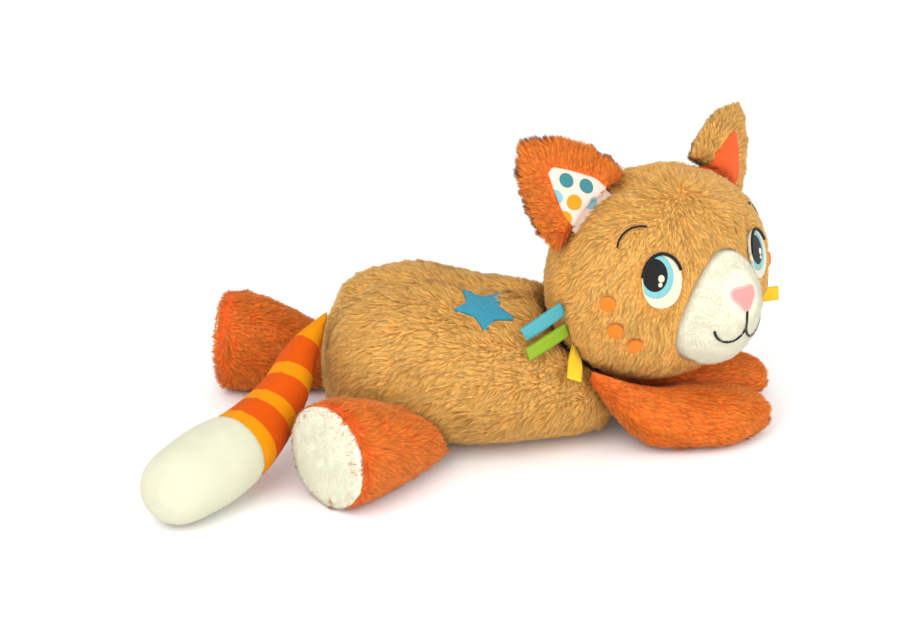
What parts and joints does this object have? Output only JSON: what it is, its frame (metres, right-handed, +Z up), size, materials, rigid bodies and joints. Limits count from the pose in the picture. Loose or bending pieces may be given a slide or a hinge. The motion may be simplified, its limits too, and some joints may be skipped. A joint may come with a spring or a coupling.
{
  "type": "plush cat",
  "caption": "Stuffed plush cat lying on its belly, sewn from fabric panels over fibre filling, with a head, ears, legs, paws and tail that turn at their seams.",
  "frame": {"origin": "middle of the footprint, on the surface the cat lies on", "axes": "+X from the rump to the chest, +Y to the cat's left, +Z up"},
  "size_m": [0.4326, 0.2697, 0.2042],
  "materials": {
    "tan_plush": "brushed short-pile plush, 5 mm pile",
    "orange_plush": "dense short-pile plush, 4 mm pile",
    "white_plush": "very short-pile fleece",
    "blue_felt": "short-pile velboa with a stitched edge",
    "orange_felt": "felt",
    "dotted_cotton": "woven cotton printed with dots",
    "striped_fabric": "smooth knitted velour, printed stripes",
    "white_fabric": "smooth knitted velour",
    "pink_thread": "satin-stitch embroidery",
    "black_thread": "satin-stitch embroidery",
    "white_thread": "satin-stitch embroidery",
    "blue_thread": "satin-stitch embroidery",
    "orange_thread": "satin-stitch embroidery",
    "blue_ribbon": "satin ribbon",
    "green_ribbon": "satin ribbon",
    "yellow_ribbon": "satin ribbon",
    "filling": "loose polyester fibre"
  },
  "bodies": {
    "torso": {"torso_right_panel": "tan_plush", "torso_left_panel": "tan_plush", "belly_panel": "tan_plush", "neck_gusset": "tan_plush", "torso_filling": "filling", "star_patch": "blue_felt"},
    "head": {"face_panel": "tan_plush", "head_back_panel": "tan_plush", "head_filling": "filling", "muzzle_patch": "white_plush", "nose_patch": "pink_thread", "mouth_stitching": "black_thread", "right_eye_white": "white_thread", "right_iris": "blue_thread", "right_pupil": "black_thread", "right_lash_line": "black_thread", "right_brow": "black_thread", "right_upper_freckle": "orange_thread", "right_middle_freckle": "orange_thread", "right_lower_freckle": "orange_thread", "right_blue_ribbon": "blue_ribbon", "right_green_ribbon": "green_ribbon", "right_yellow_ribbon": "yellow_ribbon", "left_eye_white": "white_thread", "left_iris": "blue_thread", "left_pupil": "black_thread", "left_lash_line": "black_thread", "left_brow": "black_thread", "left_upper_freckle": "orange_thread", "left_middle_freckle": "orange_thread", "left_lower_freckle": "orange_thread", "left_blue_ribbon": "blue_ribbon", "left_green_ribbon": "green_ribbon", "left_yellow_ribbon": "yellow_ribbon"},
    "right_ear": {"right_ear_shell": "orange_plush", "right_ear_lining": "dotted_cotton"},
    "left_ear": {"left_ear_shell": "tan_plush", "left_ear_lining": "orange_felt"},
    "tail": {"tail_sleeve": "striped_fabric", "tail_tip": "white_fabric", "tail_filling": "filling"},
    "right_hind_leg": {"right_hind_leg_skin": "orange_plush", "right_hind_sole": "white_plush", "right_hind_leg_filling": "filling"},
    "right_front_paw": {"right_front_paw_top": "orange_plush", "right_front_paw_bottom": "orange_plush", "right_front_paw_filling": "filling"},
    "left_hind_leg": {"left_hind_leg_skin": "orange_plush", "left_hind_sole": "white_plush", "left_hind_leg_filling": "filling"},
    "left_front_paw": {"left_front_paw_top": "orange_plush", "left_front_paw_bottom": "orange_plush", "left_front_paw_filling": "filling"}
  },
  "joints": [
    {"name": "head_turn", "type": "hinge", "parent": "torso", "child": "head", "pos_m": [0.122, 0.0221, 0.104], "axis": [0, 0, 1], "range_deg": [0, 35]},
    {"name": "right_ear_fold", "type": "hinge", "parent": "head", "child": "right_ear", "pos_m": [0.07106, -0.00377, 0.15802], "axis": [-0.651, -0.3997, -0.6453], "range_deg": [-12, 12]},
    {"name": "left_ear_fold", "type": "hinge", "parent": "head", "child": "left_ear", "pos_m": [0.16517, 0.06715, 0.15184], "axis": [-0.628, -0.5832, 0.5152], "range_deg": [-12, 12]},
    {"name": "tail_swing", "type": "hinge", "parent": "torso", "child": "tail", "pos_m": [-0.0915, 0.0281, 0], "axis": [0, 0, -1], "range_deg": [0, 35]},
    {"name": "right_hind_leg_swing", "type": "hinge", "parent": "torso", "child": "right_hind_leg", "pos_m": [-0.0222, -0.0333, 0], "axis": [0, 0, 1], "range_deg": [0, 40]},
    {"name": "left_hind_leg_swing", "type": "hinge", "parent": "torso", "child": "left_hind_leg", "pos_m": [-0.0655, 0.0821, 0], "axis": [0, 0, -1], "range_deg": [0, 50]},
    {"name": "right_front_paw_swing", "type": "hinge", "parent": "torso", "child": "right_front_paw", "pos_m": [0.0765, -0.0299, 0], "axis": [0, 0, -1], "range_deg": [0, 15]},
    {"name": "left_front_paw_swing", "type": "hinge", "parent": "torso", "child": "left_front_paw", "pos_m": [0.0765, 0.0741, 0], "axis": [0, 0, 1], "range_deg": [0, 15]}
  ]
}
